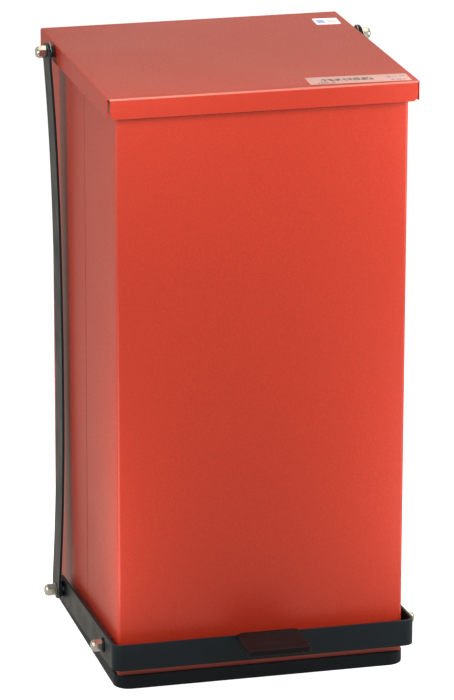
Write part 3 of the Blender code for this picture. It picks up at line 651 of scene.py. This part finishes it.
def make_rim():
    """The folded rim inside the mouth: upright walls and a shelf turned inwards."""
    bend, thick, shelf, corner = 0.0020, 0.0012, 0.0075, 0.0031
    top = RIM_HIGH.z
    profile = [(0.0, RIM_LOW.z), (0.0, top - bend)]
    for angle in (0.4, 0.8, 1.2, math.pi / 2):
        profile.append((bend * (1 - math.cos(angle)), top - bend * (1 - math.sin(angle))))
    profile += [(shelf - 0.001, top), (shelf, top)]
    rows = []
    for inset, z in profile:
        low_x, high_x = RIM_LOW.x + inset, RIM_HIGH.x - inset
        low_y, high_y = RIM_LOW.y + inset, RIM_HIGH.y - inset
        rows.append(raised(rectangle(low_x, high_x, low_y, high_y, corner, 6), z))
    bm = bmesh.new()
    grid(bm, rows, closed=True)
    rim = piece("folded_rim", bm, RED, "can", ["mouth_rim"])
    thicken(rim, (0, 0, RIM_LOW.z - 0.1), thick)
    soften(settle(rim), *SHEET_EDGE)


def make_base():
    """Moulded base: a rounded edge all round, a ledge for the body and a sunk middle."""
    x, y, top = BASE_HIGH.x, BASE_HIGH.y, BASE_HIGH.z
    recess, floor, corner, least_corner, edge = 0.165, 0.004, 0.020, 0.008, 0.0016
    profile = rounded_side(0.0, top, edge, 5)
    profile += [(x - recess - 0.001, top), (x - recess, top - 0.001), (x - recess + 0.0006, floor)]
    rows = []
    for inset, z in profile:
        radius = max(corner - inset, least_corner)
        rows.append(raised(rectangle(-x + inset, x - inset, -y + inset, y - inset, radius, 12), z))
    bm = bmesh.new()
    grid(bm, rows, closed=True, capped=True)
    piece("moulded_base", bm, BASE, "can", ["base_moulding"], 50)


def make_hinge():
    """Piano hinge: short knuckles taken in turn by the two leaves, and a pin through them."""
    y, z = joint_axis("lid_hinge")
    radius, pin_radius, leaf, count, play = 0.0032, 0.0016, 0.0012, 17, 0.0003
    low, high = BODY_LEAF_LOW.x, BODY_LEAF_HIGH.x
    length = (high - low) / count
    for name, first, body, node in (
        ("piano_hinge_lid_leaf", 1, "lid", "hinge_lid_leaf"),
        ("piano_hinge_body_leaf", 0, "can", "hinge_body_leaf"),
    ):
        bm = bmesh.new()
        for knuckle in range(first, count, 2):
            start, end = low + knuckle * length + play, low + (knuckle + 1) * length - play
            profile = chamfered(radius, start, end, 0.0002, pin_radius + 0.0001)
            lathe(bm, profile, (0, y, z), (1, 0, 0), 32)
            if body == "lid":
                corners = ((start, y - 0.006, z + radius - leaf), (end, y, z + radius))
            else:
                corners = ((start, y - radius, z - 0.006), (end, y - radius + leaf, z))
            add_block(bm, *corners)
        if body == "lid":
            add_block(bm, (low, LID_LEAF_LOW.y, z + radius - leaf), (high, y - 0.0045, z + radius))
        else:
            add_block(bm, (low, y - radius, BODY_LEAF_LOW.z), (high, y - radius + leaf, z - 0.0045))
        piece(name, bm, STEEL, body, [node], 30)
    tip = 0.0004
    profile = [(0, PIN_LOW.x), (pin_radius, PIN_LOW.x + tip)]
    profile += [(pin_radius, PIN_HIGH.x - tip), (0, PIN_HIGH.x)]
    bm = bmesh.new()
    lathe(bm, profile, (0, y, z), (1, 0, 0), 24)
    piece("piano_hinge_pin", bm, STEEL, "can", ["hinge_pin"], 30)


def make_hinge_rivets():
    """Four rivets through the hinge's lower leaf: a domed head outside and a flat one inside."""
    shank, dome_radius, dome_height = 0.002, 0.004, 0.0018
    inner_radius, inner_height = 0.0034, 0.001
    dome = [(dome_radius * math.cos(a), dome_height * math.sin(a)) for a in (0, 0.3, 0.6, 0.9, 1.2)]
    nodes = [f"hinge_rivet_{number}" for number in range(1, 5)]
    bm = bmesh.new()
    for node in nodes:
        low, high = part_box(node)
        centre = (low + high) / 2
        head = high.y - dome_height
        inner = low.y - head
        profile = [(0, inner), (inner_radius, inner), (inner_radius, inner + inner_height)]
        profile += [(shank, inner + inner_height), (shank, 0), *dome, (0, dome_height)]
        lathe(bm, profile, (centre.x, head, centre.z), (0, 1, 0), 32)
    piece("hinge_rivets", bm, STEEL, "can", nodes, 30)


def add_block(bm, low, high):
    """A box between two corners, in an existing bmesh."""
    x, y, z = ((low[i], high[i]) for i in range(3))
    corners = [bm.verts.new((a, b, c)) for c in z for b in y for a in x]
    flats = (0, 1, 3, 2), (4, 5, 7, 6)
    sides = (0, 1, 5, 4), (2, 3, 7, 6), (0, 2, 6, 4), (1, 3, 7, 5)
    for face in flats + sides:
        bm.faces.new([corners[i] for i in face])


def make_liner():
    """Loose liner: tapered walls, a rolled rim, a radiused foot and two hand holes."""
    thick, roll, corner, foot = 0.0008, 0.0026, 0.018, 0.004
    wide, narrow = 0.166, 0.161
    wall_steps, roll_steps, roll_turn = 14, 12, math.radians(270)
    centre_y = (LINER_LOW.y + LINER_HIGH.y) / 2
    low, high = LINER_LOW.z, LINER_HIGH.z
    wall_low, wall_top = low + foot, high - roll - thick
    profile = [(narrow - foot, low)]
    for angle in (0.4, 0.8, 1.2):
        profile.append((narrow - foot * (1 - math.sin(angle)), low + foot * (1 - math.cos(angle))))
    for i in range(wall_steps + 1):
        share = i / wall_steps
        profile.append((narrow + (wide - narrow) * share, wall_low + (wall_top - wall_low) * share))
    for i in range(1, roll_steps + 1):
        angle = roll_turn * i / roll_steps
        profile.append((wide + roll * (1 - math.cos(angle)), wall_top + roll * math.sin(angle)))
    rows = []
    for half, z in profile:
        rows.append(raised(rectangle(-half, half, centre_y - half, centre_y + half, corner, 10), z))
    bm = bmesh.new()
    rings = grid(bm, rows, closed=True)
    bm.faces.new(rings[0])
    nodes = ["waste_liner"]
    liner = piece("rolled_rim_liner", bm, GALVANISED, "liner", nodes, 50)
    thicken(liner, (0, 0, 0.35), thick)
    hole_radius, hole_z, hole_stretch = 0.014, 0.683, (0.082, 0.002)
    cut(liner, cross_hole(centre_y, hole_z, hole_radius, stretch=hole_stretch))
    settle(liner)


# ---------------------------------------------------------------- lid


def make_lid():
    """One folded sheet with a soft crown: the top, two side flanges and a front flange.

    The front flange has round lower corners, and is a little narrower than the top, so that a slit
    shows at each front corner.
    """
    half, front, rear, top = LID_HIGH.x, LID_LOW.y, LID_HIGH.y, LID_HIGH.z
    flange, bend, corner = LID_HIGH.z - LID_LOW.z, 0.0022, 0.007
    crown_depth, crown_reach, slit, corner_relief = 0.0004, 0.11, 0.0030, 0.0016
    arc = [math.pi / 2 * i / 6 for i in range(7)]
    across = [(-half, top - flange), (-half, top - flange / 2)]
    across += [(-half + bend * (1 - math.cos(a)), top - bend * (1 - math.sin(a))) for a in arc]
    inner = half - bend
    count = 26
    flat = [(-inner + 2 * inner * i / count, top) for i in range(1, count)]
    across += flat + [(-x, z) for x, z in reversed(across)]
    start = front + bend
    rows = []
    lengths = 26
    for k in range(lengths + 1):
        y = start + (rear - start) * k / lengths
        row = []
        for x, z in across:
            crown = fade(x, -half, half, crown_reach) * fade(y, front, rear, crown_reach)
            relief = corner_relief * min((top - z) / bend, 1.0) if k == 0 else 0.0
            row.append((x, y + relief, z - crown_depth * crown * (0.4 + dent(x, y, z, 6.0))))
        rows.append(row)
    bm = bmesh.new()
    rings = grid(bm, rows)
    first = 2 + len(arc) - 1
    upper = rings[0][first:first + count + 1]
    folds = [(bend * math.sin(a), bend * (1 - math.cos(a))) for a in arc[1:]]
    drops = [flange - corner, *(flange - corner * (1 - math.sin(a)) for a in arc[1:])]
    reach = [0.0] * len(folds) + [0.0, *(corner * (1 - math.cos(a)) for a in arc[1:])]
    steps = folds + [(bend, drop) for drop in drops]
    wide = half - slit
    for i, ((out, down), pulled) in enumerate(zip(steps, reach)):
        share = min((i + 1) / len(folds), 1.0)
        width = inner + (wide - inner) * share
        lower = []
        for vert in upper:
            x = vert.co.x / abs(upper[-1].co.x) * (width - pulled)
            lower.append(bm.verts.new((x, start - out, top - down)))
        for j in range(1, len(upper)):
            bm.faces.new((upper[j - 1], upper[j], lower[j], lower[j - 1]))
        upper = lower
    lid = piece("folded_lid", bm, LID_RED, "lid", ["lid_shell"], 35)
    thicken(lid, (0, 0, top - 0.2), SHEET)
    cut(lid, cross_hole(*joint_axis("link_left_hinge")))
    soften(settle(lid), *SHEET_EDGE)


def make_labels():
    """A clear film label and a small white sticker, both with plain marks only."""
    corner, chamfer = 0.0015, 0.0002
    for node, name, size, turn, finish, slot in (
        ("rating_label", "film_label", (0.127, 0.035), -3.0, label_film, "label_film"),
        ("stock_sticker", "white_sticker", (0.032, 0.033), -4.0, white_sticker, "white_sticker"),
    ):
        low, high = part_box(node)
        spot = Vector(((low.x + high.x) / 2, (low.y + high.y) / 2, low.z))
        matrix = Matrix.Translation(spot) @ Matrix.Rotation(math.radians(turn), 4, "Z")
        thick = high.z - low.z
        rows = []
        for inset, z in ((chamfer, 0), (0, thick / 2), (chamfer, thick)):
            x, y = size[0] / 2 - inset, size[1] / 2 - inset
            ring = raised(rectangle(-x, x, -y, y, corner, 5), z)
            rows.append([matrix @ Vector(point) for point in ring])
        bm = bmesh.new()
        grid(bm, rows, closed=True, capped=True)
        piece(name, bm, finish(name, tuple(spot), turn, size), "lid", [node], 60)


def make_bumpers():
    """Rubber buttons under the lid's front corners."""
    for side, _ in SIDES:
        low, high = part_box(f"lid_bumper_{side}")
        centre = ((low.x + high.x) / 2, (low.y + high.y) / 2, high.z)
        radius, depth = (high.x - low.x) / 2, high.z - low.z
        shares = (0, 0), (0.92, 0), (1, 0.45), (0.97, 0.7), (0.86, 0.9), (0.7, 1), (0, 1)
        profile = [(radius * out, -depth * down) for out, down in shares]
        bm = bmesh.new()
        lathe(bm, profile, centre, (0, 0, 1), 40)
        name, node = f"lid_bumper_button_{side}", f"lid_bumper_{side}"
        piece(name, bm, RUBBER, "lid", [node], 50)


# ---------------------------------------------------------------- pedal frame and links


def link_low_pin(side):
    """(y, z) of a link's lower pivot."""
    low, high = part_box(f"link_nut_{side}")
    return Vector(((low.y + high.y) / 2, (low.z + high.z) / 2))


def make_strap():
    """One flat bar bent to a U, its arms falling to the rear, with pivot holes and end slots."""
    half, front, rear = STRAP_HIGH.x, STRAP_LOW.y, STRAP_HIGH.y
    height, bend, slope, tip, tip_steps = 0.034, 0.014, 0.0431, 0.014, 8
    travel_y, travel_z = 0.00974, 0.00443
    top = STRAP_HIGH.z
    corners = ((-half, rear), (-half, front), (half, front), (half, rear))
    path = outline(corners, (0, bend, bend, 0), 14, False)
    inner = [point for point in divided(path, 0.020) if abs(point.y - rear) > tip * 1.05]
    ends = [tip * (1 - math.cos(math.pi / 2 * i / tip_steps)) for i in range(tip_steps + 1)]
    first = [Vector((-half, rear - back)) for back in ends]
    last = [Vector((half, rear - back)) for back in reversed(ends)]
    path = first + inner + last
    levels = (-1.0, -0.6, -0.2, 0.2, 0.6, 1.0)
    rows = []
    for point in path:
        near = min(rear - point.y, tip)
        reach = height / 2 - tip + math.sqrt(max(tip * tip - (tip - near) ** 2, 0.0))
        middle = top - height / 2 - slope * (point.y - front)
        rows.append([(point.x, point.y, middle + reach * level) for level in levels])
    bm = bmesh.new()
    grid(bm, rows)
    strap = piece("pedal_bar", bm, BLACK, "pedal", ["pedal_strap"])
    thicken(strap, (0, 0, 0.05), STRAP)
    cut(strap, cross_hole(*joint_axis("pedal_hinge")))
    arm_y, arm_z = link_low_pin("left")
    slot = cross_hole(arm_y - travel_y / 2, arm_z + travel_z / 2, stretch=(travel_y, travel_z))
    cut(strap, slot)
    soften(settle(strap), 0.0006, 3, 50)


def make_pad():
    """Rubber pad with rounded edges and a faintly sunk top, its rear lip over the pedal bar."""
    low, high = PAD_LOW, PAD_HIGH
    gap, edge, front_corner, rear_corner = 0.0003, 0.0014, 0.003, 0.007
    lip, bar_front = STRAP_HIGH.z + gap, STRAP_LOW.y - gap
    corners = ((low.x, low.y), (high.x, low.y), (high.x, high.y), (low.x, high.y))
    plan = outline(corners, (front_corner, front_corner, rear_corner, rear_corner), 8)
    centre = Vector(((low.x + high.x) / 2, (low.y + high.y) / 2))
    half = (high - low) / 2
    profile = rounded_side(low.z, high.z, edge, 4)
    profile += [(0.006, high.z), (0.012, high.z - 0.0001)]
    rows = []
    for inset, z in profile:
        scale_x, scale_y = 1 - inset / half.x, 1 - inset / half.y
        row = []
        for point in plan:
            off = point - centre
            row.append((centre.x + off.x * scale_x, centre.y + off.y * scale_y, z))
        rows.append(row)
    bm = bmesh.new()
    grid(bm, rows, closed=True, capped=True)
    pad = piece("rubber_pad", bm, RUBBER, "pedal", ["pedal_pad"], 50)
    bar_room = bmesh.new()
    add_block(bar_room, (-0.1, bar_front, 0.03), (0.1, 0.0, lip))
    cut(pad, bar_room)
    settle(pad)


def make_link(side, sign):
    """Flat bar with rounded ends, bowed towards the can between its pins."""
    low_pin = link_low_pin(side)
    high_pin = Vector(joint_axis(f"link_{side}_hinge"))
    rise = high_pin - low_pin
    length, along = rise.length, rise.normalized()
    end, wide, bow, straight, parts = 0.011, 0.019, 0.009, 0.012, 100
    low_x, high_x = 0.2002, 0.2024
    arc = [math.radians(a) for a in range(90, -1, -10)]
    stations = [(-end * math.sin(a), wide * math.cos(a)) for a in arc]
    stations += [(length * i / parts, wide) for i in range(1, parts)]
    stations += [(length + end * math.sin(a), wide * math.cos(a)) for a in reversed(arc)]
    rows = []
    for station, half in stations:
        share = min(max(station / length, 0.0), 1.0)
        past = max(min(station, length - station) - straight, 0.0)
        wave = math.sin(math.pi * past / (length - 2 * straight))
        x = low_x + (high_x - low_x) * share - bow * wave * (1.6 - 0.6 * wave)
        row = []
        for level in (-1.0, -0.5, 0.0, 0.5, 1.0):
            across = half * level
            y = low_pin.x + along.x * station + along.y * across
            z = low_pin.y + along.y * station - along.x * across
            row.append((sign * x, y, z))
        rows.append(row)
    bm = bmesh.new()
    grid(bm, rows)
    bmesh.ops.remove_doubles(bm, verts=bm.verts, dist=0.00001)
    name, body = f"link_flat_bar_{side}", f"link_{side}"
    bar = piece(name, bm, BLACK, body, [f"link_bar_{side}"])
    thicken(bar, (0, 0.1, 0.4), STRAP, True)
    start, stop = sorted((sign * 0.17, sign * 0.25))
    for pin in (low_pin, high_pin):
        cut(bar, cross_hole(pin.x, pin.y, low=start, high=stop))
    soften(settle(bar), 0.0005, 3, 50)


# ---------------------------------------------------------------- fasteners


def add_cap_nut(bm, low, high, sign):
    """A hexagon cap nut: chamfered flats, a short neck and a full dome, with a blind bore."""
    length = high.x - low.x
    reach = (high.y - low.y) / 2
    corner, hexagon, neck, bore, steps = 0.0082, 0.0100, 0.0003, 0.0105, 96
    flat = corner * math.cos(math.pi / 6)
    crest = corner * 0.992
    dome = flat - 0.0004
    slope = math.tan(math.radians(30))
    origin = Vector((low.x if sign > 0 else high.x, (low.y + high.y) / 2, (low.z + high.z) / 2))
    turn = Vector((sign, 0, 0)).to_track_quat("Z", "Y").to_matrix().to_4x4()
    matrix = Matrix.Translation(origin) @ turn
    tilt = 0.0 if abs(reach - corner) < abs(reach - flat) else math.pi / 6
    rows = []

    def ring(shape):
        """Adds a row whose (radius, height) is made from the distance to the hexagon's side."""
        made = []
        for i in range(steps):
            angle = math.tau * i / steps
            around = (angle + math.pi / 6) % (math.pi / 3) - math.pi / 6
            side = min(flat / math.cos(math.pi / 6 - abs(around)), crest)
            radius, height = shape(side)
            turned_by = angle + tilt
            spot = Vector((radius * math.cos(turned_by), radius * math.sin(turned_by), height))
            made.append(matrix @ spot)
        rows.append(made)

    ring(lambda side: (HOLE_R, bore))
    ring(lambda side: (HOLE_R, 0.0))
    ring(lambda side: (flat - 0.0002, 0.0))
    ring(lambda side: (side, slope * (side - flat) + 0.0001))
    ring(lambda side: (side, hexagon - slope * (side - flat) - 0.0001))
    ring(lambda side: (flat - 0.0002, hexagon))
    ring(lambda side: (dome, hexagon))
    ring(lambda side: (dome, hexagon + neck))
    base = hexagon + neck
    crown = length - base
    for i in range(1, 11):
        angle = math.pi / 2 * i / 11
        radius, height = dome * math.cos(angle) ** 0.6, base + crown * math.sin(angle) ** 0.9
        ring(lambda side, r=radius, h=height: (r, h))
    rings = grid(bm, rows, closed=True)
    bm.faces.new(rings[0])
    tip = bm.verts.new(matrix @ Vector((0, 0, length)))
    for i in range(steps):
        bm.faces.new((rings[-1][i - 1], rings[-1][i], tip))


def make_fasteners():
    """Cap nuts, washers and spacers as turned pieces, in the places of the CAD's own."""
    for side, sign in SIDES:
        for group, body in (("pivot", "can"), ("lid", "lid"), ("link", f"link_{side}")):
            node = f"{group}_nut_{side}"
            bm = bmesh.new()
            add_cap_nut(bm, *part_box(node), sign)
            piece(f"{group}_cap_nut_{side}", bm, BRIGHT, body, [node], 28)
            for kind in ("washer", "spacer"):
                node = f"{group}_{kind}_{side}"
                low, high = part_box(node)
                slot = CAD_SLOTS[node]
                radius = (high.y - low.y) / 2
                edge = min(0.0004, (high.x - low.x) / 4)
                centre = (0, (low.y + high.y) / 2, (low.z + high.z) / 2)
                profile = chamfered(radius, low.x, high.x, edge, HOLE_R)
                bm = bmesh.new()
                lathe(bm, profile, centre, (1, 0, 0), 56)
                piece(f"{group}_turned_{kind}_{side}", bm, FINISHES[slot], body, [node], 30)


# ---------------------------------------------------------------- build

for cad_node, cad_slot in CAD_SLOTS.items():
    if cad_slot in FINISHES:
        frame["nodes"][cad_node].material_slots[0].material = FINISHES[cad_slot]

make_shells()
make_rim()
make_base()
make_hinge()
make_hinge_rivets()
make_liner()
make_lid()
make_labels()
make_bumpers()
make_strap()
make_pad()
for link_side, link_sign in SIDES:
    make_link(link_side, link_sign)
make_fasteners()

# ---------------------------------------------------------------- camera, light and floor

YAW, PITCH, ROLL = math.radians(14.425), math.radians(17.431), math.radians(0.129)
CAMERA_SPOT = (-1.3895, -5.4092, 2.1283)
SENSOR = 36.0
# Focal length as a multiple of the picture's height
FOCAL = 4600 / 700

ahead = Vector((math.sin(YAW) * math.cos(PITCH), math.cos(YAW) * math.cos(PITCH), -math.sin(PITCH)))
level = Vector((math.cos(YAW), -math.sin(YAW), 0))
above = level.cross(ahead)
right = level * math.cos(ROLL) + above * math.sin(ROLL)
above = above * math.cos(ROLL) - level * math.sin(ROLL)
camera_data = bpy.data.cameras.new("camera")
camera_data.sensor_width = SENSOR
camera_data.lens = SENSOR * FOCAL
camera_data.clip_start, camera_data.clip_end = 0.1, 200.0
camera = bpy.data.objects.new("camera", camera_data)
bpy.context.scene.collection.objects.link(camera)
facing = Matrix((right, above, -ahead)).transposed().to_4x4()
camera.matrix_world = Matrix.Translation(CAMERA_SPOT) @ facing
bpy.context.scene.camera = camera

# Softboxes: azimuth in degrees from the front towards the right, distance, height, (width, height)
# of the box, power, and whether gloss mirrors it
SOFTBOXES = {
    "right_strip": (60, 0.50, 0.70, (0.15, 0.50), 1.72, True),
    "right_low": (60, 0.42, 0.24, (0.15, 0.36), 0.92, False),
    "left_front": (-30, 0.60, 0.95, (0.15, 0.50), 2.95, True),
    "front_high": (5, 0.45, 1.05, (0.40, 0.10), 0.38, False),
    "left_low": (-60, 0.35, 0.24, (0.15, 0.36), 0.38, True),
    "left": (-90, 1.00, 0.70, (0.40, 0.60), 2.45, True),
    "behind": (160, 1.20, 1.40, (0.80, 0.80), 9.20, False),
}
SOFTBOX_COLOUR = (0.96, 0.98, 1.0)
AIM = (0, -0.05, 0.4)

for name, (azimuth, distance, height, size, power, mirrored) in SOFTBOXES.items():
    data = bpy.data.lights.new(name, "AREA")
    data.shape = "RECTANGLE"
    data.size, data.size_y = size
    data.energy = power
    data.color = SOFTBOX_COLOUR
    light = bpy.data.objects.new(name, data)
    turn = math.radians(azimuth)
    light.location = (distance * math.sin(turn), -distance * math.cos(turn) - 0.1, height)
    aim = Vector(AIM) - light.location
    light.rotation_euler = aim.to_track_quat("-Z", "Y").to_euler()
    light.visible_camera = False
    light.visible_glossy = mirrored
    bpy.context.scene.collection.objects.link(light)

# What gloss mirrors of the studio, by height: pale walls, a dark band and a bright ceiling, tinted
SKY_BANDS = ((0.50, 0.78), (0.58, 0.70), (0.66, 0.10), (0.82, 0.10), (0.90, 1.70))
WARM = (1.0, 0.94, 0.79)
# What the camera sees of the sky, and what lights the can
SKY_SEEN, SKY_REST = (1, 1, 1), (0.215, 0.21, 0.20)
# The floor's colour and its glow: as the camera sees them, as gloss does, and for the rest
FLOOR_TONES = (0.90, 0.90, 0.90), (0.30, 0.29, 0.26), (0.46, 0.45, 0.42)
FLOOR_GLOWS = (0.85, 0.85, 0.85), (0.52, 0.48, 0.41), (0.0, 0.0, 0.0)
FLOOR_REACH = 40

world = bpy.data.worlds.new("studio")
world.use_nodes = True
bpy.context.scene.world = world
tree = world.node_tree


def by_ray(light_tree, for_camera, for_gloss, for_rest):
    """One of three values: for what the camera sees, for what gloss mirrors, and for the rest."""
    paths = light_tree.nodes.new("ShaderNodeLightPath")
    gloss = light_tree.nodes.new("ShaderNodeMix")
    gloss.data_type = "RGBA"
    both = light_tree.nodes.new("ShaderNodeMix")
    both.data_type = "RGBA"
    light_tree.links.new(paths.outputs["Is Glossy Ray"], gloss.inputs[0])
    light_tree.links.new(paths.outputs["Is Camera Ray"], both.inputs[0])
    gloss.inputs[6].default_value = (*for_rest, 1)
    if isinstance(for_gloss, bpy.types.NodeSocket):
        light_tree.links.new(for_gloss, gloss.inputs[7])
    else:
        gloss.inputs[7].default_value = (*for_gloss, 1)
    light_tree.links.new(gloss.outputs[2], both.inputs[6])
    both.inputs[7].default_value = (*for_camera, 1)
    return both.outputs[2]


aloft = tree.nodes.new("ShaderNodeSeparateXYZ")
tree.links.new(tree.nodes.new("ShaderNodeTexCoord").outputs["Generated"], aloft.inputs[0])
bands = tree.nodes.new("ShaderNodeValToRGB")
tree.links.new(aloft.outputs["Z"], bands.inputs[0])
while len(bands.color_ramp.elements) < len(SKY_BANDS):
    bands.color_ramp.elements.new(1.0)
for element, (height, shade) in zip(bands.color_ramp.elements, SKY_BANDS):
    element.position = height
    element.color = (*(shade * channel for channel in WARM), 1)
sky = by_ray(tree, SKY_SEEN, bands.outputs[0], SKY_REST)
tree.links.new(sky, tree.nodes["Background"].inputs["Color"])
tree.nodes["Background"].inputs["Strength"].default_value = 1.0

floor_shader = Shader("studio floor")
floor_material = floor_shader.set(
    Base_Color=by_ray(floor_shader.tree, *FLOOR_TONES),
    Roughness=0.9,
    Specular_IOR_Level=0.0,
    Emission_Color=by_ray(floor_shader.tree, *FLOOR_GLOWS),
    Emission_Strength=1.0,
)
floor_bm = bmesh.new()
edges = (-FLOOR_REACH, FLOOR_REACH)
grid(floor_bm, [[(x, y, 0) for x in edges] for y in edges])
floor_mesh = bpy.data.meshes.new("floor")
floor_bm.to_mesh(floor_mesh)
floor_bm.free()
floor_mesh.materials.append(floor_material)
floor = bpy.data.objects.new("floor", floor_mesh)
bpy.context.scene.collection.objects.link(floor)

bpy.context.scene.view_settings.view_transform = "Standard"
